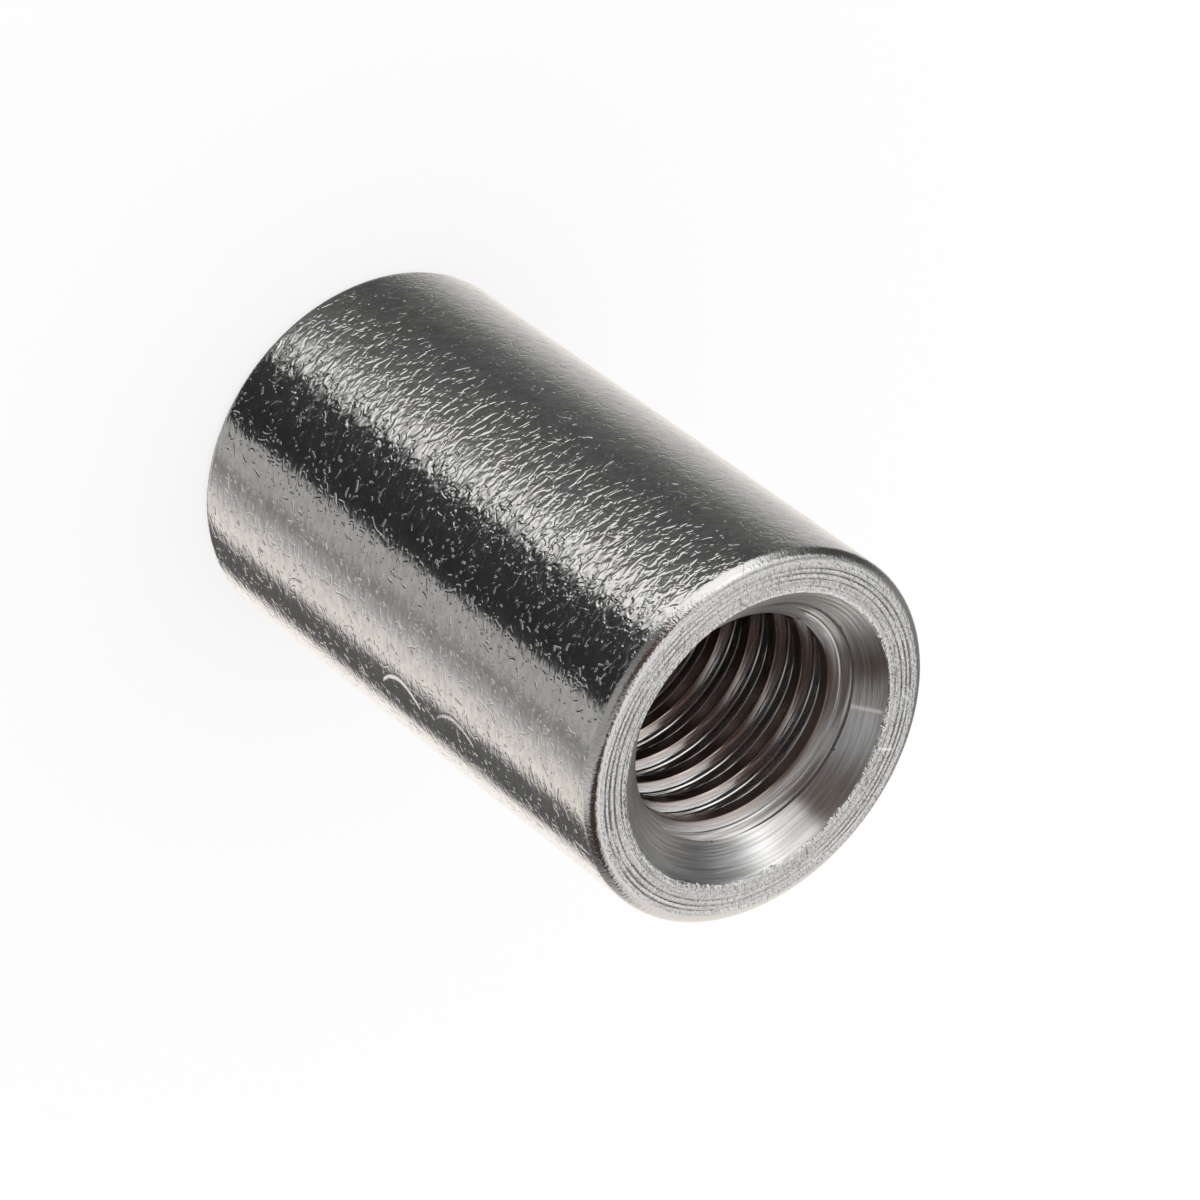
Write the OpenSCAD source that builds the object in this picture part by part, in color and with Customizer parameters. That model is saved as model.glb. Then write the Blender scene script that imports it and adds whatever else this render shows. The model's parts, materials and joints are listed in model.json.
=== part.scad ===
/* [Body] */
// Diameter of the round body
outer_d = 12; // [10.6:0.1:24]
// Length from end face to end face
body_l = 20; // [4:0.5:80]
// Radius that tumbling leaves on the outer edges
edge_r = 0.35; // [0.05:0.05:0.9]

/* [Threaded hole] */
// Diameter of the hole across the crests of its M8 x 1.25 thread
bore_d = 6.9; // [4:0.05:9]
// Diameter of the countersunk mouth on each end face
mouth_d = 9.4; // [7:0.1:11]
// Full angle of each countersink
sink_angle = 90; // [60:1:150]

/* [Hidden] */
$fn = 96;
steel = [0.62, 0.61, 0.58];
outer_r = outer_d / 2;
bore_r = bore_d / 2;
mouth_r = mouth_d / 2;
sink_depth = (mouth_r - bore_r) / tan(sink_angle / 2);

// Metal that is worn off a sharp outer corner to leave it round
module corner_waste() {
    translate([outer_r - edge_r, 0])
        difference() {
            translate([0, -edge_r]) square(2 * edge_r);
            translate([0, edge_r]) circle(edge_r);
        }
}

// One side of the wall, cut through the axis: bore on the left, outer surface on the right
module wall_section() {
    difference() {
        polygon([
            [bore_r, sink_depth],
            [mouth_r, 0],
            [outer_r, 0],
            [outer_r, body_l],
            [mouth_r, body_l],
            [bore_r, body_l - sink_depth],
        ]);
        corner_waste();
        translate([0, body_l]) mirror([0, 1]) corner_waste();
    }
}

// The nut, turned in one piece and standing on one end face
module coupling_nut() {
    color(steel) rotate_extrude() wall_section();
}

coupling_nut();
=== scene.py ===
import json
import math

import bpy
import numpy as np
from mathutils import Matrix, Vector


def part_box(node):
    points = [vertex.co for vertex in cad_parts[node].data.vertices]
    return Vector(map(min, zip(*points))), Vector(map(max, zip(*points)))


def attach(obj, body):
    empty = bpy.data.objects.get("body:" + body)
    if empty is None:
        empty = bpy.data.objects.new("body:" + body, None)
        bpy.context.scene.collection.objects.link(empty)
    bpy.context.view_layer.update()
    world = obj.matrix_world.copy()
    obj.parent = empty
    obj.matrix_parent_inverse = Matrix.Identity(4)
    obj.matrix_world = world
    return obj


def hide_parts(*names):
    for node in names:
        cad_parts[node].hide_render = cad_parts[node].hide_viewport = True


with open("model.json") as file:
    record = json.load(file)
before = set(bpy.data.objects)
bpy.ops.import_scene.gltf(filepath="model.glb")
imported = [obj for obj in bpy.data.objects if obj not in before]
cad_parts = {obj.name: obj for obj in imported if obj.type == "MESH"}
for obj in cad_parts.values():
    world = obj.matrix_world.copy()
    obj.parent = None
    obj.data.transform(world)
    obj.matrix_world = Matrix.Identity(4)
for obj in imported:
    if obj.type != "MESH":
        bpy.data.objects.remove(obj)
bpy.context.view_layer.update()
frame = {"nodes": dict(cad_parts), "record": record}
mm = 0.001
print("frame loaded:", ", ".join(frame["nodes"]))


# Short ways to write shader nodes
def addNode(tree, kind, **settings):
    node = tree.nodes.new(kind)
    for name, value in settings.items():
        setattr(node, name, value)
    return node


def feed(tree, value, socket):
    if isinstance(value, bpy.types.NodeSocket):
        tree.links.new(value, socket)
    else:
        socket.default_value = value


def mathStep(tree, operation, first, second=0.0, third=0.0):
    node = addNode(tree, "ShaderNodeMath", operation=operation)
    for value, socket in zip((first, second, third), node.inputs):
        feed(tree, value, socket)
    return node.outputs[0]


def vectorStep(tree, operation, first, second=(0.0, 0.0, 0.0)):
    node = addNode(tree, "ShaderNodeVectorMath", operation=operation)
    feed(tree, first, node.inputs[0])
    feed(tree, second, node.inputs[1])
    return node.outputs["Value" if operation in ("DOT_PRODUCT", "LENGTH") else "Vector"]


def softStep(tree, value, low, high, outLow=0.0, outHigh=1.0):
    node = addNode(tree, "ShaderNodeMapRange", interpolation_type="SMOOTHSTEP")
    for entry, socket in zip((value, low, high, outLow, outHigh), node.inputs):
        feed(tree, entry, socket)
    return node.outputs["Result"]


def joinXyz(tree, x=0.0, y=0.0, z=0.0):
    node = addNode(tree, "ShaderNodeCombineXYZ")
    for value, socket in zip((x, y, z), node.inputs):
        feed(tree, value, socket)
    return node.outputs["Vector"]


def splitXyz(tree, vector):
    node = addNode(tree, "ShaderNodeSeparateXYZ")
    feed(tree, vector, node.inputs[0])
    return node.outputs[0], node.outputs[1], node.outputs[2]


def newGroup(name, inputs, outputs):
    tree = bpy.data.node_groups.new(name, "ShaderNodeTree")
    for label, kind, value in inputs:
        socket = tree.interface.new_socket(label, in_out="INPUT", socket_type="NodeSocket" + kind)
        if value is not None:
            socket.default_value = value
    for label, kind in outputs:
        tree.interface.new_socket(label, in_out="OUTPUT", socket_type="NodeSocket" + kind)
    return tree, addNode(tree, "NodeGroupInput").outputs, addNode(tree, "NodeGroupOutput").inputs


def placeGroup(tree, group, **values):
    node = addNode(tree, "ShaderNodeGroup", node_tree=group)
    for label, value in values.items():
        feed(tree, value, node.inputs[label])
    return node


# Nut: sizes in millimetres, taken from the frame where it has them
lowCorner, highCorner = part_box("coupling_nut")
threadMount = next(m for m in frame["record"]["mounts"] if m["name"] == "thread")
nut = {
    "outerRadius": (highCorner.x - lowCorner.x) / 2 / mm,
    "length": (highCorner.z - lowCorner.z) / mm,
    "crestRadius": threadMount["dims"]["r_mm"],
    "threadLength": threadMount["dims"]["length_mm"],
    "rootRadius": 4.04,         # half of M8 and a little clearance
    "rootFlat": 0.19,
    "pitch": 1.25,
    "flankAngle": 30.0,         # each flank against a plane across the axis
    "threadPhase": 0.527,       # height of a crest over the lower face, on the +X side
    "crestRounding": 0.05,      # how softly the flanks turn into the crests
    "rootRounding": 0.12,
    "sinkAngle": 90.0,
    "edgeRadius": 0.35,
    "burr": 0.04,               # width of the broken edge round each mouth
    "ragged": 0.8,
    "raggedReach": (-0.8, 1.6),
    "mouthSeeds": (3, 8),       # lower and upper mouth
    "sharpAngle": 38.0,         # edges sharper than this stay sharp
    "onSink": 0.004,            # how near to the countersink's cone a face belongs to it
    "columns": 240,
    "wallRows": 24,
    "edgeRows": 10,
    "faceRows": 6,
    "spareTurns": 3,            # rows of thread below the nut, which are cut off
    "crestRows": (-0.04, -0.012, 0.01, 0.035),      # rows at the crest's edge, in millimetres from it
    "flankRows": (0.32, 0.65, 0.87, 1.0, 1.1),      # rows down the flank, as shares of it
}
nut["sinkDepth"] = (nut["length"] - nut["threadLength"]) / 2
nut["sinkSlope"] = math.tan(math.radians(nut["sinkAngle"] / 2))
nut["mouthRadius"] = nut["crestRadius"] + nut["sinkDepth"] * nut["sinkSlope"]
nut["faceRadius"] = nut["outerRadius"] - nut["edgeRadius"]
nut["flankSpread"] = math.tan(math.radians(nut["flankAngle"]))
nut["flankLength"] = (nut["rootRadius"] - nut["crestRadius"]) * nut["flankSpread"]
nut["crestHalf"] = (nut["pitch"] - nut["rootFlat"]) / 2 - nut["flankLength"]


def softMax(a, b, rounding):
    return np.maximum(a, b) + np.maximum(rounding - np.abs(a - b), 0) ** 2 / (4 * rounding)


def softMin(a, b, rounding):
    return -softMax(-a, -b, rounding)


def threadRadius(offset):
    # offset runs along the axis from the middle of a crest
    rise = (np.abs(offset) - nut["crestHalf"]) / nut["flankSpread"]
    depth = nut["rootRadius"] - nut["crestRadius"]
    rise = softMin(softMax(rise, 0, nut["crestRounding"]), depth, nut["rootRounding"])
    return nut["crestRadius"] + np.maximum(rise, 0)


def sinkRadius(height):
    fromEnd = np.minimum(height, nut["length"] - height)
    return nut["mouthRadius"] - fromEnd * nut["sinkSlope"]


def threadRows():
    # rows of one pitch, closer together where the profile bends
    crest, flank = nut["crestHalf"], nut["flankLength"]
    onCrest = [crest + row for row in nut["crestRows"]]
    onFlank = [crest + row * flank for row in nut["flankRows"]]
    half = np.array([0] + onCrest + onFlank)
    return np.concatenate([half, [nut["pitch"] / 2], nut["pitch"] - half[:0:-1]])


def raggedness(seed):
    # small uneven steps round the mouth, a few columns long
    steps = np.random.default_rng(seed).normal(0, 1, nut["columns"])
    steps = (steps + np.roll(steps, 1)) / 2
    return np.clip(nut["ragged"] * steps, *nut["raggedReach"])


def boreGrid():
    # columns run up the bore, and rows follow the helix: after one turn each meets the row a pitch higher
    offsets = threadRows()
    perPitch = len(offsets)
    turns = math.ceil(nut["length"] / nut["pitch"]) + nut["spareTurns"] + 1
    start = nut["threadPhase"] - nut["spareTurns"] * nut["pitch"]
    along = np.concatenate([offsets + nut["pitch"] * t for t in range(turns)])
    columns = np.arange(nut["columns"])
    height = start + nut["pitch"] * columns[:, None] / nut["columns"] + along[None, :]
    around = np.where(offsets > nut["pitch"] / 2, offsets - nut["pitch"], offsets)
    onThread = np.tile(threadRadius(around), turns)[None, :] + 0 * height
    onCone = sinkRadius(height)
    radius = np.maximum(onThread, onCone)
    # the row nearest to where countersink and thread meet moves onto their common edge
    gap = onCone - onThread
    for c, r in zip(*np.nonzero(gap[:, :-1] * gap[:, 1:] < 0)):
        share = gap[c, r] / (gap[c, r] - gap[c, r + 1])
        z = height[c, r] + share * (height[c, r + 1] - height[c, r])
        near = r if share < 0.5 else r + 1
        height[c, near] = z
        radius[c, near] = sinkRadius(z)
    low = np.abs(height).argmin(axis=1)
    high = np.abs(height - nut["length"]).argmin(axis=1)
    rows = np.arange(nut["columns"])
    for mouth, level, seed in zip((low, high), (0.0, nut["length"]), nut["mouthSeeds"]):
        inward = nut["burr"] * (1 + raggedness(seed))
        height[rows, mouth] = np.abs(level - inward)
        radius[rows, mouth] = nut["mouthRadius"] - inward * nut["sinkSlope"]
    return height, radius, low, high, perPitch


def outsideProfile():
    # from the upper mouth over the face, edge and wall down to the lower mouth; both mouths are left out
    bend, outer, length = nut["edgeRadius"], nut["outerRadius"], nut["length"]
    innermost = nut["mouthRadius"] + nut["burr"] / 2
    top = [(r, length) for r in np.linspace(innermost, nut["faceRadius"], nut["faceRows"] + 1)[:-1]]
    for step in range(nut["edgeRows"] + 1):
        turn = math.pi / 2 * step / nut["edgeRows"]
        top.append((nut["faceRadius"] + bend * math.sin(turn), length - bend + bend * math.cos(turn)))
    bottom = [(r, length - z) for r, z in reversed(top)]
    side = [(outer, z) for z in np.linspace(length - bend, bend, nut["wallRows"] + 1)[1:-1]]
    return top + side + bottom


def makeNut():
    height, radius, low, high, perPitch = boreGrid()
    count = nut["columns"]
    angle = 2 * math.pi * np.arange(count) / count
    points = []
    index = -np.ones(height.shape, dtype=int)
    for c in range(count):
        for r in range(low[c], high[c] + 1):
            index[c, r] = len(points)
            x, y = radius[c, r] * math.cos(angle[c]), radius[c, r] * math.sin(angle[c])
            points.append((x, y, height[c, r]))
    faces = []
    zones = []
    zoneOf = {"wall": 0, "end": 1, "sink": 2, "thread": 3, "edge": 4}      # in the order of the materials

    def boreZone(ids):
        r = np.mean([math.hypot(points[i][0], points[i][1]) for i in ids])
        z = np.mean([points[i][2] for i in ids])
        return zoneOf["sink" if abs(r - sinkRadius(z)) < nut["onSink"] else "thread"]

    for c in range(count):
        right = (c + 1) % count
        shift = perPitch if right == 0 else 0
        lowRight, highRight = low[right] - shift, high[right] - shift
        first, last = max(low[c], lowRight), min(high[c], highRight)
        strip = [(index[c, r], index[c, r + 1], index[right, r + 1 + shift], index[right, r + shift])
                 for r in range(first, last)]
        strip += [(index[c, r], index[c, r + 1], index[right, last + shift]) for r in range(last, high[c])]
        strip += [(index[c, last], index[right, r + 1 + shift], index[right, r + shift])
                  for r in range(last, highRight)]
        strip += [(index[c, r], index[c, r + 1], index[right, first + shift]) for r in range(low[c], first)]
        strip += [(index[c, first], index[right, r + 1 + shift], index[right, r + shift])
                  for r in range(lowRight, first)]
        faces += strip
        zones += [boreZone(ids) for ids in strip]

    rings = [[index[c, high[c]] for c in range(count)]]
    for r, z in outsideProfile():
        rings.append(list(range(len(points), len(points) + count)))
        points += [(r * math.cos(a), r * math.sin(a), z) for a in angle]
    rings.append([index[c, low[c]] for c in range(count)])
    slack = 1e-6
    for upper, lower in zip(rings, rings[1:]):
        inner, outer = sorted(math.hypot(*points[ring[0]][:2]) for ring in (upper, lower))
        zone = "edge"
        if outer < nut["faceRadius"] + slack:
            zone = "end"
        elif inner > nut["outerRadius"] - slack:
            zone = "wall"
        for c in range(count):
            right = (c + 1) % count
            faces.append((upper[c], lower[c], lower[right], upper[right]))
            zones.append(zoneOf[zone])

    mesh = bpy.data.meshes.new("coupling_nut_turned")
    mesh.from_pydata([Vector(p) * mm for p in points], [], faces)
    mesh.polygons.foreach_set("material_index", zones)
    mesh.polygons.foreach_set("use_smooth", [True] * len(faces))
    mesh.update()
    mesh.set_sharp_from_angle(angle=math.radians(nut["sharpAngle"]))
    piece = bpy.data.objects.new("coupling_nut_turned", mesh)
    bpy.context.scene.collection.objects.link(piece)
    return piece


nutPiece = makeNut()
print("nut mesh:", len(nutPiece.data.vertices), "points,", len(nutPiece.data.polygons), "faces")


# Places on the nut in millimetres, for every steel material
def makePlaces():
    tree, _, out = newGroup(
        "nutPlaces",
        [],
        [("Place", "Vector"), ("Unrolled", "Vector"), ("Turned", "Vector"), ("Radius", "Float"),
         ("Height", "Float"), ("Turn", "Float")])
    inMetres = addNode(tree, "ShaderNodeTexCoord").outputs["Object"]
    place = vectorStep(tree, "MULTIPLY", inMetres, (1 / mm,) * 3)
    x, y, z = splitXyz(tree, place)
    radius = vectorStep(tree, "LENGTH", joinXyz(tree, x, y))
    angle = mathStep(tree, "ARCTAN2", y, x)
    feed(tree, place, out["Place"])
    feed(tree, joinXyz(tree, mathStep(tree, "MULTIPLY", angle, nut["outerRadius"]), z), out["Unrolled"])
    # the third number counts millimetres across the turning marks, the first two go round without a seam
    roundX, roundY = [mathStep(tree, "DIVIDE", value, radius) for value in (x, y)]
    feed(tree, joinXyz(tree, roundX, roundY, radius), out["Turned"])
    feed(tree, radius, out["Radius"])
    feed(tree, z, out["Height"])
    feed(tree, mathStep(tree, "DIVIDE", angle, 2 * math.pi), out["Turn"])
    return tree


scratch = {
    "seedShift": (7.31, 3.17),      # how far one seed moves the net
    "bend": (1.6, -0.8),            # range and lowest value of the curve
    "reach": (0.4, 0.04),           # range and least of half the length, in cells
    "shortness": 3.0,               # a higher power makes more of them short
    "remix": 17.3,                  # draws one more chance out of another
}


# One scratch in each cell of a random net, turned at random and a little curved
def makeScratch():
    tree, given, out = newGroup(
        "singleScratches",
        [("Place", "Vector", None), ("Cell", "Float", 0.4), ("Seed", "Float", 0.0),
         ("Width", "Float", 0.04), ("Rare", "Float", 2.0)],
        [("Groove", "Float")])
    scale = joinXyz(tree, given["Cell"], given["Cell"], 1.0)
    shifts = [mathStep(tree, "MULTIPLY", given["Seed"], step) for step in scratch["seedShift"]]
    net = vectorStep(tree, "ADD", vectorStep(tree, "DIVIDE", given["Place"], scale), joinXyz(tree, *shifts))
    cells = addNode(tree, "ShaderNodeTexVoronoi", voronoi_dimensions="2D")
    feed(tree, net, cells.inputs["Vector"])
    cells.inputs["Scale"].default_value = 1.0
    chance = splitXyz(tree, cells.outputs["Color"])
    turn = addNode(tree, "ShaderNodeVectorRotate", rotation_type="Z_AXIS")
    feed(tree, vectorStep(tree, "SUBTRACT", net, cells.outputs["Position"]), turn.inputs["Vector"])
    feed(tree, mathStep(tree, "MULTIPLY", chance[0], math.pi), turn.inputs["Angle"])
    x, y, _ = splitXyz(tree, turn.outputs[0])
    bend = mathStep(tree, "MULTIPLY_ADD", chance[1], *scratch["bend"])
    off = mathStep(tree, "MULTIPLY_ADD", bend, mathStep(tree, "MULTIPLY", x, x), y)
    short = mathStep(tree, "POWER", chance[2], scratch["shortness"])
    reach = mathStep(tree, "MULTIPLY_ADD", short, *scratch["reach"])
    past = mathStep(tree, "MAXIMUM", mathStep(tree, "SUBTRACT", mathStep(tree, "ABSOLUTE", x), reach), 0.0)
    away = vectorStep(tree, "LENGTH", joinXyz(tree, past, off))
    width = mathStep(tree, "DIVIDE", given["Width"], given["Cell"])
    # most scratches are faint, and few are deep
    fresh = mathStep(tree, "FRACT", mathStep(tree, "MULTIPLY", chance[1], scratch["remix"]))
    depth = mathStep(tree, "POWER", fresh, given["Rare"])
    feed(tree, mathStep(tree, "MULTIPLY", softStep(tree, away, width, 0.0), depth), out["Groove"])
    return tree


tumbling = {
    "layers": 9,
    "cells": (0.7, 0.08),           # size of the first net's cells, and how much each further one grows
    "seeds": (0.4, 1.7),
    "swerve": 0.02,
}


# Many such nets over each other, as parts that were tumbled together leave them
def makeTumbling(single):
    tree, given, out = newGroup(
        "tumbledScratches",
        [("Place", "Vector", None), ("Cell", "Float", 0.4), ("Width", "Float", 0.04),
         ("Rare", "Float", 2.0), ("Seed", "Float", 0.0)],
        [("Groove", "Float")])
    total = 0.0
    place = given["Place"]
    firstCell, cellStep = tumbling["cells"]
    firstSeed, seedStep = tumbling["seeds"]
    for layer in range(tumbling["layers"]):
        cell = mathStep(tree, "MULTIPLY", given["Cell"], firstCell + cellStep * layer)
        seed = mathStep(tree, "ADD", given["Seed"], seedStep * layer + firstSeed)
        node = placeGroup(tree, single, Place=place, Cell=cell, Seed=seed, Width=given["Width"],
                          Rare=given["Rare"])
        total = mathStep(tree, "MAXIMUM", total, node.outputs["Groove"])
        # a later scratch swerves a little where it crosses an earlier one
        swerve = mathStep(tree, "MULTIPLY", total, tumbling["swerve"])
        place = vectorStep(tree, "ADD", given["Place"], joinXyz(tree, swerve, swerve))
    feed(tree, total, out["Groove"])
    return tree


turning = {
    "detail": 2.0,
    "contrast": (0.3, 0.7),
}


# Marks of the turning tool: long streaks round the axis
def makeTurning():
    tree, given, out = newGroup(
        "turningMarks",
        [("Turned", "Vector", None), ("PerMm", "Float", 10.0), ("Round", "Float", 2.0),
         ("Seed", "Float", 0.0)],
        [("Mark", "Float")])
    scale = joinXyz(tree, given["Round"], given["Round"], given["PerMm"])
    shift = joinXyz(tree, given["Seed"], given["Seed"], given["Seed"])
    noise = addNode(tree, "ShaderNodeTexNoise", noise_dimensions="3D")
    place = vectorStep(tree, "ADD", vectorStep(tree, "MULTIPLY", given["Turned"], scale), shift)
    feed(tree, place, noise.inputs["Vector"])
    noise.inputs["Scale"].default_value = 1.0
    noise.inputs["Detail"].default_value = turning["detail"]
    feed(tree, softStep(tree, noise.outputs[0], *turning["contrast"]), out["Mark"])
    return tree


graining = {
    "contrast": (0.25, 0.75),
}


# Fine grain of the bare metal
def makeGrain():
    tree, given, out = newGroup(
        "metalGrain",
        [("Place", "Vector", None), ("PerMm", "Float", 8.0), ("Detail", "Float", 3.0),
         ("Swirl", "Float", 0.0)],
        [("Grain", "Float")])
    noise = addNode(tree, "ShaderNodeTexNoise", noise_dimensions="3D")
    feed(tree, given["Place"], noise.inputs["Vector"])
    feed(tree, given["PerMm"], noise.inputs["Scale"])
    feed(tree, given["Detail"], noise.inputs["Detail"])
    feed(tree, given["Swirl"], noise.inputs["Distortion"])
    feed(tree, softStep(tree, noise.outputs[0], *graining["contrast"]), out["Grain"])
    return tree


placesGroup = makePlaces()
scratchGroup = makeScratch()
tumblingGroup = makeTumbling(scratchGroup)
turningGroup = makeTurning()
grainGroup = makeGrain()
print("effects done")


# Steel materials: a start that all share, then one for each kind of surface
def startSteel(name):
    material = bpy.data.materials.new(name)
    material.use_nodes = True
    tree = material.node_tree
    shader = tree.nodes["Principled BSDF"]
    shader.inputs["Metallic"].default_value = 1.0
    places = placeGroup(tree, placesGroup)
    return material, tree, shader, places.outputs


def bump(tree, height, depth, normal=None):
    node = addNode(tree, "ShaderNodeBump")
    node.inputs["Distance"].default_value = depth * mm
    feed(tree, height, node.inputs["Height"])
    if normal:
        feed(tree, normal, node.inputs["Normal"])
    return node.outputs["Normal"]


def carve(tree, groove, depth, normal=None):
    return bump(tree, mathStep(tree, "SUBTRACT", 1.0, groove), depth, normal)


def tint(tree, share, low, high):
    node = addNode(tree, "ShaderNodeMix", data_type="RGBA")
    feed(tree, share, node.inputs["Factor"])
    node.inputs[6].default_value = (*low, 1)
    node.inputs[7].default_value = (*high, 1)
    return node.outputs[2]


def blend(tree, share, first, second, kind="MIX"):
    node = addNode(tree, "ShaderNodeMix", data_type="RGBA", blend_type=kind)
    feed(tree, share, node.inputs["Factor"])
    feed(tree, first, node.inputs[6])
    feed(tree, second, node.inputs[7])
    return node.outputs[2]


wall = {
    "dark": (0.52, 0.51, 0.50),
    "light": (0.63, 0.62, 0.605),
    "roughness": (0.10, 0.16),
    "crinkle": (0.5, 0.5, 1.0),         # stretch of the dense fine relief, which runs round the nut
    "crinklePerMm": 4.3,
    "crinkleDetail": 1.0,
    "crinkleSwirl": 0.7,
    "crinkleDepth": 0.015,
    # model angle of the worn side, its near and far reach, and the share of wear beyond
    "crinkled": (-106.0, 17.0, 30.0, 0.3),
    "scratched": (-88.0, 18.0, 32.0, 0.6),
    "scratchCell": 0.36,
    "scratchWidth": 0.05,
    "scratchRare": 7.0,
    "scratchDepth": 0.013,
    "longSeeds": (31.0, 47.0),
    "longCell": 0.85,
    "longRare": 5.0,
    "longDepth": 0.012,
    # model angle, height, reach, bend and strength of each hook
    "hooks": [(-36.0, 10.45, 1.0, 0.62, 1.0), (-37.0, 13.25, 1.0, 0.55, 0.4)],
    "hookWidth": 0.11,
    "hookEnd": 0.15,            # length over which its ends fade
    "hookFull": 0.8,            # share of its depth from which it has its own finish
    "hookDepth": 0.02,
    # whitish colour of each hook: a painted glint on the real scratch
    "hookGlintColor": (0.95, 0.94, 0.93),
    "hookRoughness": 0.4,
    "hookMetallic": 0.3,
}


# A deep scratch with both ends bent back, at one place on the wall
def hookMark(tree, places, turn, height, reach, bend, strength):
    x, z, _ = splitXyz(tree, places["Unrolled"])
    along = mathStep(tree, "SUBTRACT", z, height)
    across = mathStep(tree, "SUBTRACT", x, math.radians(turn) * nut["outerRadius"])
    across = mathStep(tree, "MULTIPLY_ADD", mathStep(tree, "MULTIPLY", along, along), -bend, across)
    line = softStep(tree, mathStep(tree, "ABSOLUTE", across), wall["hookWidth"], 0.0)
    ends = softStep(tree, mathStep(tree, "ABSOLUTE", along), reach, reach - wall["hookEnd"], 0.0, strength)
    return mathStep(tree, "MULTIPLY", line, ends)


# The nut was rubbed more on one side: full wear near that side, less of it further round
def wornShare(tree, places, turn, near, far, beyond):
    bearing, near, far = [math.radians(a) for a in (turn, near, far)]
    side = vectorStep(tree, "DOT_PRODUCT", places["Turned"], (math.cos(bearing), math.sin(bearing), 0))
    return softStep(tree, side, math.cos(far), math.cos(near), beyond, 1.0)


def makeWall():
    material, tree, shader, places = startSteel("tumbledWall")
    groove = placeGroup(tree, tumblingGroup, Place=places["Unrolled"], Cell=wall["scratchCell"],
                        Width=wall["scratchWidth"], Rare=wall["scratchRare"]).outputs["Groove"]
    long = 0.0
    for seed in wall["longSeeds"]:
        layer = placeGroup(tree, scratchGroup, Place=places["Unrolled"], Cell=wall["longCell"], Seed=seed,
                           Width=wall["scratchWidth"], Rare=wall["longRare"])
        long = mathStep(tree, "MAXIMUM", long, layer.outputs["Groove"])
    hooks = 0.0
    for hook in wall["hooks"]:
        hooks = mathStep(tree, "MAXIMUM", hooks, hookMark(tree, places, *hook))
    stretched = vectorStep(tree, "MULTIPLY", places["Place"], wall["crinkle"])
    crinkle = placeGroup(tree, grainGroup, Place=stretched, PerMm=wall["crinklePerMm"],
                         Detail=wall["crinkleDetail"], Swirl=wall["crinkleSwirl"]).outputs["Grain"]
    relief = mathStep(tree, "SUBTRACT", crinkle, 0.5)
    relief = mathStep(tree, "MULTIPLY", relief, wornShare(tree, places, *wall["crinkled"]))
    groove = mathStep(tree, "MULTIPLY", groove, wornShare(tree, places, *wall["scratched"]))
    normal = bump(tree, relief, wall["crinkleDepth"])
    normal = carve(tree, groove, wall["scratchDepth"], normal)
    normal = carve(tree, long, wall["longDepth"], normal)
    normal = carve(tree, hooks, wall["hookDepth"], normal)
    feed(tree, normal, shader.inputs["Normal"])
    color = tint(tree, crinkle, wall["dark"], wall["light"])
    # painted glint: the base colour along each hook is whitened
    feed(tree, blend(tree, hooks, color, (*wall["hookGlintColor"], 1)), shader.inputs["Base Color"])
    roughness = softStep(tree, groove, 0.0, 1.0, *wall["roughness"])
    roughness = softStep(tree, hooks, 0.0, wall["hookFull"], roughness, wall["hookRoughness"])
    feed(tree, roughness, shader.inputs["Roughness"])
    metallic = softStep(tree, hooks, 0.0, wall["hookFull"], 1.0, wall["hookMetallic"])
    feed(tree, metallic, shader.inputs["Metallic"])
    return material


glint = {
    # whitish colour of the painted highlight on each nick
    "color": (0.95, 0.94, 0.93, 1),
    "metallic": 0.4,
    "fade": 0.12,               # how far each end fades out
}


# Painted highlights: light streaks in colour only, where nicks run outwards over the end of the nut
def addNickGlints(tree, shader, places, color, nickGlints):
    total = 0.0
    for turn, inner, outer, width, strength in nickGlints:
        angle = mathStep(tree, "MULTIPLY_ADD", places["Turn"], 2 * math.pi, -math.radians(turn))
        across = mathStep(tree, "ABSOLUTE", mathStep(tree, "MULTIPLY", angle, places["Radius"]))
        line = softStep(tree, across, width, 0.0, 0.0, strength)
        for stop, inside in ((inner, inner + glint["fade"]), (outer, outer - glint["fade"])):
            line = mathStep(tree, "MULTIPLY", line, softStep(tree, places["Radius"], stop, inside))
        total = mathStep(tree, "MAXIMUM", total, line)
    feed(tree, blend(tree, total, color, glint["color"]), shader.inputs["Base Color"])
    feed(tree, softStep(tree, total, 0.0, 1.0, 1.0, glint["metallic"]), shader.inputs["Metallic"])


end = {
    "dark": (0.46, 0.457, 0.455),
    "light": (0.82, 0.815, 0.81),
    "roughness": (0.14, 0.28),
    "marksPerMm": 11.0,
    "marksRound": 2.5,
    "markDepth": 0.009,
    "grainPerMm": 8.0,
    "grainDepth": 0.019,
    "scratchCell": 0.6,
    "scratchWidth": 0.035,
    "scratchSeed": 5.0,
    "scratchDepth": 0.012,
    # radius, half width and strength of single rings: grooves are carved and also painted darker as painted
    # shade, ridges are painted lighter as painted highlight
    "shadedGrooves": [(4.90, 0.025, 0.4), (5.13, 0.035, 0.9), (5.31, 0.04, 1.0), (5.46, 0.035, 1.0)],
    "ridgeHighlights": [(5.22, 0.04, 0.6), (5.39, 0.04, 0.8), (5.55, 0.05, 0.8)],
    "grooveDepth": 0.036,
    "fadePerMm": 0.8,
    "fade": (0.85, 0.15),       # range and least of a ring's strength on its way round
    "rimHighlightWidth": 0.11,          # width of the painted highlight along the mouth's broken rim
    "rimHighlightStrength": 0.8,
    "lighter": {"grain": 0.5, "mark": 0.4, "ridgeHighlights": 0.5, "shadedGrooves": -0.7},     # what each adds to the tone: grain and marks vary it, ridges add painted highlight, grooves add painted shade
    # model angle, inner and outer radius, half width and strength of each painted nick highlight
    "nickGlints": [(113.0, 4.72, 5.4, 0.07, 0.9)],
}


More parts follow.
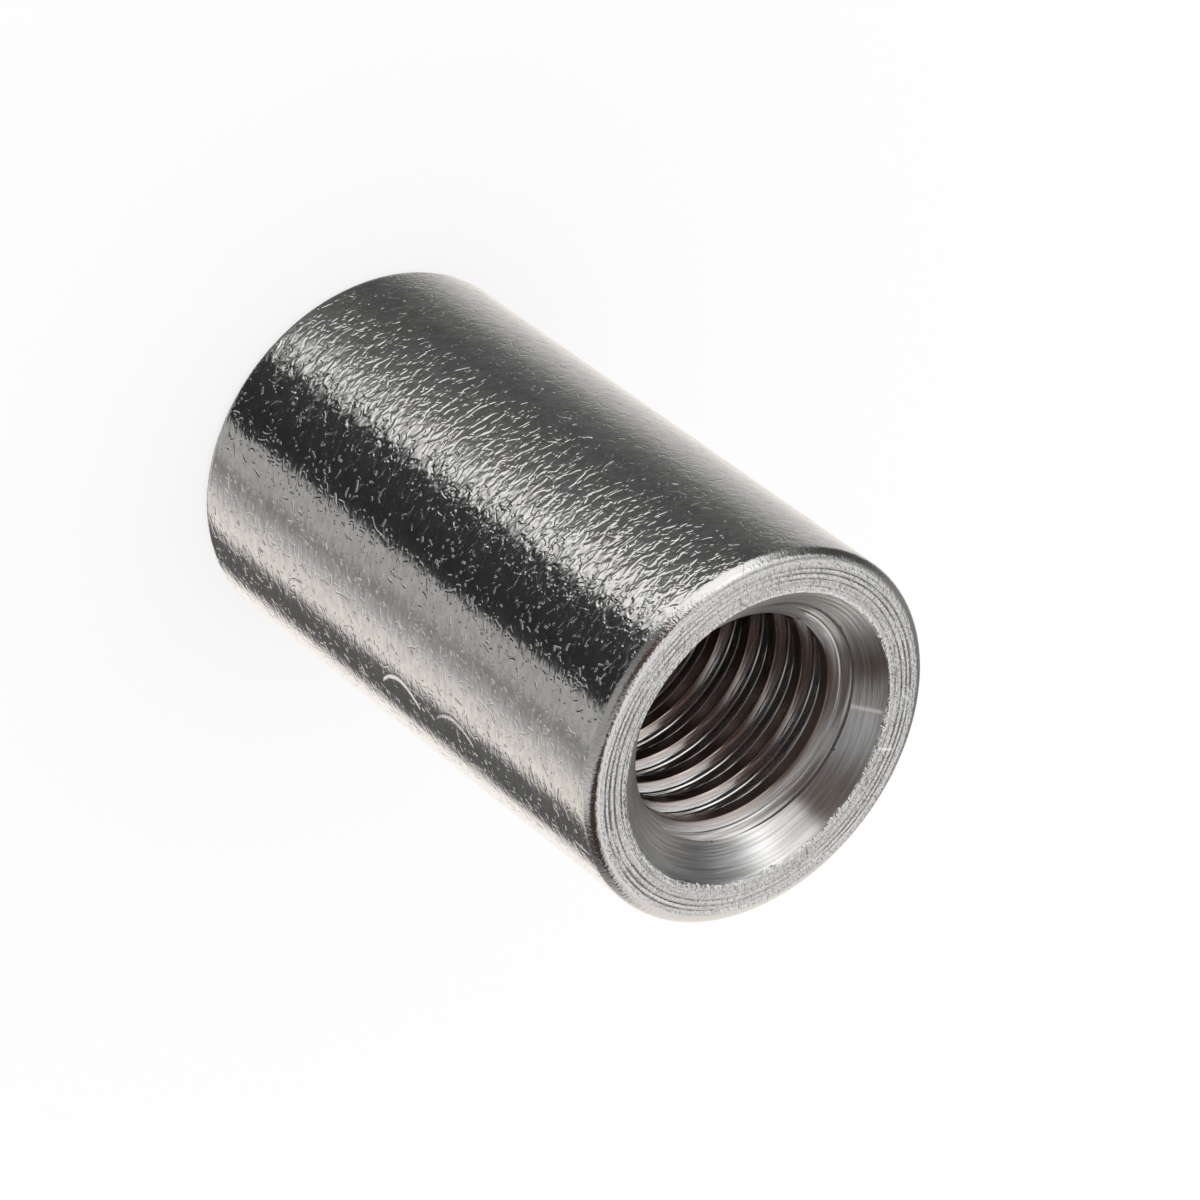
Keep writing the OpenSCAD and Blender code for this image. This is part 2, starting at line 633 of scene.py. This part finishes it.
# Rings round the axis that show singly, fading a little on their way round
def ringMarks(tree, places, fade, rings):
    total = 0.0
    for radius, width, strength in rings:
        away = mathStep(tree, "ABSOLUTE", mathStep(tree, "SUBTRACT", places["Radius"], radius))
        total = mathStep(tree, "MAXIMUM", total, softStep(tree, away, width, 0.0, 0.0, strength))
    return mathStep(tree, "MULTIPLY", total, mathStep(tree, "MULTIPLY_ADD", fade, *end["fade"]))


def makeEnd():
    material, tree, shader, places = startSteel("turnedEnd")
    mark = placeGroup(tree, turningGroup, Turned=places["Turned"], PerMm=end["marksPerMm"],
                      Round=end["marksRound"]).outputs["Mark"]
    grain = placeGroup(tree, grainGroup, Place=places["Place"], PerMm=end["grainPerMm"]).outputs["Grain"]
    fade = placeGroup(tree, grainGroup, Place=places["Place"], PerMm=end["fadePerMm"]).outputs["Grain"]
    shadedGrooves = ringMarks(tree, places, fade, end["shadedGrooves"])
    ridgeHighlights = ringMarks(tree, places, fade, end["ridgeHighlights"])
    normal = bump(tree, mark, end["markDepth"], bump(tree, grain, end["grainDepth"]))
    normal = carve(tree, shadedGrooves, end["grooveDepth"], normal)
    fine = placeGroup(tree, tumblingGroup, Place=places["Place"], Cell=end["scratchCell"],
                      Width=end["scratchWidth"], Seed=end["scratchSeed"]).outputs["Groove"]
    feed(tree, carve(tree, fine, end["scratchDepth"], normal), shader.inputs["Normal"])
    mouth = nut["mouthRadius"]
    # painted highlight: the colour is lightened in a band along the mouth's rim
    rim = softStep(tree, places["Radius"], mouth + end["rimHighlightWidth"], mouth, 0.0, end["rimHighlightStrength"])
    lighter = end["lighter"]
    shade = mathStep(tree, "MULTIPLY", mark, lighter["mark"])
    shade = mathStep(tree, "MULTIPLY_ADD", grain, lighter["grain"], shade)
    shade = mathStep(tree, "ADD", shade, mathStep(tree, "MULTIPLY", rim, grain))
    # painted highlight on the ridges and painted shade in the grooves
    shade = mathStep(tree, "MULTIPLY_ADD", ridgeHighlights, lighter["ridgeHighlights"], shade)
    shade = mathStep(tree, "MULTIPLY_ADD", shadedGrooves, lighter["shadedGrooves"], shade)
    addNickGlints(tree, shader, places, tint(tree, shade, end["dark"], end["light"]), end["nickGlints"])
    feed(tree, softStep(tree, grain, 0.0, 1.0, *end["roughness"]), shader.inputs["Roughness"])
    return material


edge = {
    "color": (0.62, 0.61, 0.595, 1),
    "roughness": 0.14,
    "grainPerMm": 9.0,
    "grainDepth": 0.006,
    "scratchCell": 0.7,
    "scratchWidth": 0.04,
    "scratchSeed": 9.0,
    "scratchDepth": 0.004,
}


def makeEdge():
    material, tree, shader, places = startSteel("roundedEdge")
    groove = placeGroup(tree, tumblingGroup, Place=places["Unrolled"], Cell=edge["scratchCell"],
                        Width=edge["scratchWidth"], Seed=edge["scratchSeed"]).outputs["Groove"]
    grain = placeGroup(tree, grainGroup, Place=places["Place"], PerMm=edge["grainPerMm"]).outputs["Grain"]
    normal = bump(tree, grain, edge["grainDepth"])
    feed(tree, carve(tree, groove, edge["scratchDepth"], normal), shader.inputs["Normal"])
    shader.inputs["Base Color"].default_value = edge["color"]
    shader.inputs["Roughness"].default_value = edge["roughness"]
    return material


sink = {
    "dark": (0.46, 0.455, 0.45),
    "light": (0.68, 0.675, 0.67),
    "roughness": 0.28,
    "stretch": 0.9,             # how far highlights are drawn out across the turning marks
    "stretchTurn": 0.25,
    "marksPerMm": 16.0,
    "marksRound": 2.0,
    "marksSeed": 4.0,
    "markDepth": 0.005,
    # painted highlight of a nick across the countersink: model angle, inner and outer radius, half width
    # and strength
    "nickGlints": [(127.0, 3.8, 4.68, 0.13, 0.5)],
}


def makeSink():
    material, tree, shader, places = startSteel("turnedSink")
    mark = placeGroup(tree, turningGroup, Turned=places["Turned"], PerMm=sink["marksPerMm"],
                      Round=sink["marksRound"], Seed=sink["marksSeed"]).outputs["Mark"]
    feed(tree, bump(tree, mark, sink["markDepth"]), shader.inputs["Normal"])
    addNickGlints(tree, shader, places, tint(tree, mark, sink["dark"], sink["light"]), sink["nickGlints"])
    shader.inputs["Roughness"].default_value = sink["roughness"]
    shader.inputs["Anisotropic"].default_value = sink["stretch"]
    shader.inputs["Anisotropic Rotation"].default_value = sink["stretchTurn"]
    around = addNode(tree, "ShaderNodeTangent", direction_type="RADIAL", axis="Z")
    feed(tree, around.outputs[0], shader.inputs["Tangent"])
    return material


thread = {
    "flankDark": (0.46, 0.45, 0.44),
    "flankLight": (0.68, 0.67, 0.66),
    "crest": (0.34, 0.27, 0.23),        # darker and brown
    "crestBlend": (-0.03, 0.14),     # where it starts to fade and where it ends, from the crest's edge
    "metallic": 0.95,
    "roughness": 0.14,
    "mouthRoughness": 0.3,      # of the first turn, which the countersink has torn
    "mouthDepth": (1.7, 2.1),
    "marksPerMm": 13.0,
    "marksRound": 3.0,
    "marksSeed": 2.0,
    "markDepth": 0.003,
    "lineAt": 0.32,             # depth in the groove where the tap left a line in the flank
    "lineWidth": 0.06,
    "lineDepth": 0.012,
}


def makeThread():
    material, tree, shader, places = startSteel("cutThread")
    mark = placeGroup(tree, turningGroup, Turned=places["Turned"], PerMm=thread["marksPerMm"],
                      Round=thread["marksRound"], Seed=thread["marksSeed"]).outputs["Mark"]
    climb = mathStep(tree, "SUBTRACT", places["Height"], nut["threadPhase"])
    turns = mathStep(tree, "DIVIDE", climb, nut["pitch"])
    phase = mathStep(tree, "FRACT", mathStep(tree, "SUBTRACT", turns, places["Turn"]))
    overCrest = mathStep(tree, "MULTIPLY", phase, nut["pitch"])
    lineAt = nut["crestHalf"] + thread["lineAt"] * nut["flankSpread"]
    away = mathStep(tree, "ABSOLUTE", mathStep(tree, "SUBTRACT", overCrest, lineAt))
    line = softStep(tree, away, thread["lineWidth"] * math.sin(math.radians(nut["flankAngle"])), 0.0)
    normal = carve(tree, line, thread["lineDepth"])
    feed(tree, bump(tree, mark, thread["markDepth"], normal), shader.inputs["Normal"])
    fromCrest = mathStep(tree, "PINGPONG", overCrest, nut["pitch"] / 2)
    share = softStep(tree, fromCrest, *[nut["crestHalf"] + reach for reach in thread["crestBlend"]])
    color = tint(tree, mark, thread["flankDark"], thread["flankLight"])
    feed(tree, blend(tree, share, (*thread["crest"], 1), color), shader.inputs["Base Color"])
    shader.inputs["Metallic"].default_value = thread["metallic"]
    middle = nut["length"] / 2
    fromMiddle = mathStep(tree, "ABSOLUTE", mathStep(tree, "SUBTRACT", places["Height"], middle))
    inward = mathStep(tree, "SUBTRACT", middle, fromMiddle)
    roughness = softStep(tree, inward, *thread["mouthDepth"], thread["mouthRoughness"], thread["roughness"])
    feed(tree, roughness, shader.inputs["Roughness"])
    return material


for makeMaterial in (makeWall, makeEnd, makeSink, makeThread, makeEdge):
    nutPiece.data.materials.append(makeMaterial())
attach(nutPiece, "root")
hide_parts("coupling_nut")
print("steel done")


# Studio cards that only the metal mirrors.
# Their angles go round the nut's axis, from the side that is up in the photograph.
studio = {
    "upBearing": -132.5,
    "behind": [          # angle, level and tint of the cards below the rim
        (-180, 0.55, "cream"), (-176, 1.05, "cream"), (-170, 1.25, "cream"), (-150, 1.12, "cream"),
        (-115, 0.98, "cream"), (-85, 0.6, "grey"), (-62, 0.2, "grey"), (-42, 0.115, "grey"),
        (-25, 0.135, "grey"), (0, 0.2, "grey"), (20, 0.28, "grey"), (34, 0.06, "grey"),
        (68, 0.035, "grey"), (78, 0.05, "grey"), (82, 0.56, "grey"), (98, 0.56, "grey"),
        (106, 0.32, "grey"), (117, 0.57, "grey"), (128, 0.96, "cream"), (143, 1.2, "cream"),
        (149, 0.5, "cream"), (153, 0.16, "grey"), (173, 0.13, "grey"), (178, 0.25, "grey"),
        (180, 0.55, "cream")],
    "front": [           # over the rim
        (-180, 0.9, "cream"), (-175, 1.1, "cream"), (-145, 1.15, "cream"), (-139, 0.8, "cream"),
        (-133, 0.35, "grey"), (-125, 0.22, "grey"), (-112, 0.3, "grey"), (-100, 0.28, "grey"),
        (-90, 0.11, "grey"), (-65, 0.07, "grey"), (-48, 0.22, "grey"), (10, 0.2, "grey"),
        (22, 0.15, "grey"), (36, 0.2, "grey"), (55, 0.3, "grey"), (70, 0.45, "grey"),
        (90, 0.4, "grey"), (105, 0.5, "grey"), (118, 0.85, "grey"), (126, 0.7, "grey"),
        (134, 0.15, "grey"), (143, 0.06, "brown"), (158, 0.2, "grey"), (168, 0.4, "grey"),
        (176, 0.6, "cream"), (180, 0.9, "cream")],
    "top": [             # close to the nut's axis
        (-180, 0.5, "grey"), (-160, 0.95, "grey"), (-140, 1.22, "grey"), (-115, 0.85, "grey"),
        (-98, 0.5, "grey"), (-88, 0.4, "grey"), (-75, 0.9, "grey"), (-66, 1.1, "grey"),
        (-24, 1.1, "grey"), (-16, 0.12, "brown"), (5, 0.1, "brown"), (60, 0.1, "brown"),
        (74, 0.17, "grey"), (84, 0.35, "grey"), (100, 0.45, "grey"), (112, 0.7, "grey"),
        (116, 0.2, "grey"), (133, 0.07, "brown"), (150, 0.06, "brown"), (165, 0.07, "brown"),
        (174, 0.15, "grey"), (180, 0.5, "grey")],
    "toFront": (-0.55, -0.25),    # heights between which one ring of cards passes into the next
    "toTop": (0.5, 0.68),
    "lowTop": {"at": 158.0, "wide": (55.0, 25.0), "drop": 0.2},      # where the top ring comes down further
    "zenith": {"from": (0.984, 0.994), "color": (1.15, 1.15, 1.15, 1)},
    "tints": {"grey": (1, 1, 1), "cream": (1, 0.955, 0.90), "brown": (1, 0.62, 0.48)},
    "softbox": {"right": 23.0, "shift": 19.0, "sharp": 9.0,
                "left": -36.0, "narrowing": 50.0, "lowerEdge": (0.40, 0.68), "soft": 11.0,
                "upperEdge": (0.80, 0.92), "floorEdge": (0.60, 0.84), "level": 1.25, "levelBelow": -0.2},
    "radius": 0.4,
    "segments": 64,
}


def bandRamp(tree, around, bands):
    ramp = addNode(tree, "ShaderNodeValToRGB")
    stops = ramp.color_ramp.elements
    while len(stops) < len(bands):
        stops.new(0.5)
    for stop, (angle, level, tintName) in zip(stops, bands):
        stop.position = angle / 360 + 0.5
        stop.color = (*[level * c for c in studio["tints"][tintName]], 1)
    feed(tree, around, ramp.inputs["Fac"])
    return ramp.outputs["Color"]


def makeCards():
    material = bpy.data.materials.new("studioCards")
    material.use_nodes = True
    material.cycles.emission_sampling = "NONE"
    tree = material.node_tree
    tree.nodes.clear()
    direction = vectorStep(tree, "NORMALIZE", addNode(tree, "ShaderNodeTexCoord").outputs["Object"])
    bearing = math.radians(studio["upBearing"])
    up = vectorStep(tree, "DOT_PRODUCT", direction, (math.cos(bearing), math.sin(bearing), 0))
    across = vectorStep(tree, "DOT_PRODUCT", direction, (-math.sin(bearing), math.cos(bearing), 0))
    height = splitXyz(tree, direction)[2]
    angle = mathStep(tree, "DEGREES", mathStep(tree, "ARCTAN2", across, up))
    around = mathStep(tree, "MULTIPLY_ADD", angle, 1 / 360, 0.5)
    rings = [bandRamp(tree, around, studio[name]) for name in ("behind", "front", "top")]
    color = blend(tree, softStep(tree, height, *studio["toFront"]), rings[0], rings[1])
    low = studio["lowTop"]
    near = mathStep(tree, "ABSOLUTE", mathStep(tree, "SUBTRACT", angle, low["at"]))
    raised = mathStep(tree, "ADD", height, softStep(tree, near, *low["wide"], 0.0, low["drop"]))
    color = blend(tree, softStep(tree, raised, *studio["toTop"]), color, rings[2])
    color = blend(tree, softStep(tree, height, *studio["zenith"]["from"]), color, studio["zenith"]["color"])
    # the softbox has one sharp edge, and below the rim it narrows and lies further round
    box = studio["softbox"]
    below = mathStep(tree, "MAXIMUM", mathStep(tree, "MULTIPLY", height, -1.0), 0.0)
    right = mathStep(tree, "MULTIPLY_ADD", below, box["shift"], box["right"])
    narrowing = softStep(tree, below, *box["lowerEdge"], 0.0, box["narrowing"])
    left = mathStep(tree, "ADD", narrowing, box["left"])
    lamp = softStep(tree, mathStep(tree, "SUBTRACT", right, angle), 0.0, box["sharp"])
    level = mathStep(tree, "MULTIPLY_ADD", below, box["levelBelow"], box["level"])
    leftEdge = softStep(tree, mathStep(tree, "SUBTRACT", angle, left), -box["soft"], box["soft"])
    upperEdge = softStep(tree, height, *box["upperEdge"], 1.0, 0.0)
    floorEdge = softStep(tree, below, *box["floorEdge"], 1.0, 0.0)
    for share in (level, leftEdge, upperEdge, floorEdge):
        lamp = mathStep(tree, "MULTIPLY", lamp, share)
    color = blend(tree, 1.0, color, joinXyz(tree, lamp, lamp, lamp), "ADD")
    light = addNode(tree, "ShaderNodeEmission")
    feed(tree, color, light.inputs["Color"])
    feed(tree, light.outputs[0], addNode(tree, "ShaderNodeOutputMaterial").inputs["Surface"])

    bpy.ops.mesh.primitive_uv_sphere_add(segments=studio["segments"], ring_count=studio["segments"] // 2,
                                         radius=studio["radius"])
    cards = bpy.context.object
    cards.name = "studioCards"
    cards.data.materials.append(material)
    cards.visible_camera = False
    cards.visible_diffuse = False
    cards.visible_shadow = False
    cards.visible_transmission = False


floor = {
    "size": 4.0,
    "color": (1, 1, 1, 1),
    "plainShare": 0.75,         # how much of the floor shows as plain white, which keeps its shadow faint
    # dark colour, glowing faintly, of the painted shade disc inside the hole
    "shadeUnderNut": (0.07, 0.05, 0.04, 1),
    "underPoints": 64,
    "underLift": 0.01,          # millimetres over the floor
}


def startDull(name, color):
    material = bpy.data.materials.new(name)
    material.use_nodes = True
    shader = material.node_tree.nodes["Principled BSDF"]
    shader.inputs["Base Color"].default_value = color
    shader.inputs["Roughness"].default_value = 1.0
    shader.inputs["Specular IOR Level"].default_value = 0.0
    return material, shader


def makeFloor():
    material, shader = startDull("paleFloor", floor["color"])
    tree = material.node_tree
    plain = addNode(tree, "ShaderNodeEmission")
    plain.inputs["Color"].default_value = floor["color"]
    rays = addNode(tree, "ShaderNodeLightPath").outputs
    seen = mathStep(tree, "MAXIMUM", rays["Is Camera Ray"], rays["Is Glossy Ray"])
    seen = mathStep(tree, "MAXIMUM", seen, rays["Is Transmission Ray"])
    mix = addNode(tree, "ShaderNodeMixShader")
    feed(tree, mathStep(tree, "MULTIPLY", seen, floor["plainShare"]), mix.inputs[0])
    feed(tree, shader.outputs[0], mix.inputs[1])
    feed(tree, plain.outputs[0], mix.inputs[2])
    feed(tree, mix.outputs[0], tree.nodes["Material Output"].inputs["Surface"])
    bpy.ops.mesh.primitive_plane_add(size=floor["size"])
    sheet = bpy.context.object
    sheet.name = "floor"
    sheet.data.materials.append(material)
    sheet.visible_glossy = False

    # the thread mirrors the floor inside the hole, which is in the nut's own shade: a dark disc that glows
    # faintly stands there as painted shade, unseen by the camera
    shade, dull = startDull("paintedShadeInHole", floor["shadeUnderNut"])
    dull.inputs["Emission Color"].default_value = floor["shadeUnderNut"]
    dull.inputs["Emission Strength"].default_value = 1.0
    bpy.ops.mesh.primitive_circle_add(vertices=floor["underPoints"], radius=nut["mouthRadius"] * mm,
                                      fill_type="NGON", location=(0, 0, floor["underLift"] * mm))
    under = bpy.context.object
    under.name = "paintedShadeInHole"
    under.data.materials.append(shade)
    under.visible_camera = False


def makeWorld():
    world = bpy.data.worlds.new("studio")
    bpy.context.scene.world = world
    world.use_nodes = True
    world.node_tree.nodes["Background"].inputs["Color"].default_value = (1, 1, 1, 1)


makeCards()
makeFloor()
makeWorld()
print("studio done")


# Camera: rolled so that the standing nut lies in the picture as it does in the photograph
camera = {
    "lens": 188.1,
    "sensor": 36,
    "clip": (0.01, 10),
    "aim": (-0.51, 0.0, 11.70),
    "distance": 184.46,
    "elevation": 43.18,
    "azimuth": 0.22,
    "roll": 126.51,
}


def makeCamera():
    data = bpy.data.cameras.new("photoCamera")
    data.lens = camera["lens"]
    data.sensor_width = camera["sensor"]
    data.clip_start, data.clip_end = camera["clip"]
    piece = bpy.data.objects.new("photoCamera", data)
    bpy.context.scene.collection.objects.link(piece)
    rise, side = math.radians(camera["elevation"]), math.radians(camera["azimuth"])
    back = Vector((math.sin(side) * math.cos(rise), -math.cos(side) * math.cos(rise), math.sin(rise)))
    upright = (-back).to_track_quat("-Z", "Y").to_matrix()
    rolled = upright @ Matrix.Rotation(math.radians(camera["roll"]), 3, "Z")
    place = (Vector(camera["aim"]) + back * camera["distance"]) * mm
    piece.matrix_world = Matrix.Translation(place) @ rolled.to_4x4()
    bpy.context.scene.camera = piece


makeCamera()
bpy.context.scene.view_settings.view_transform = "Standard"
print("camera done")
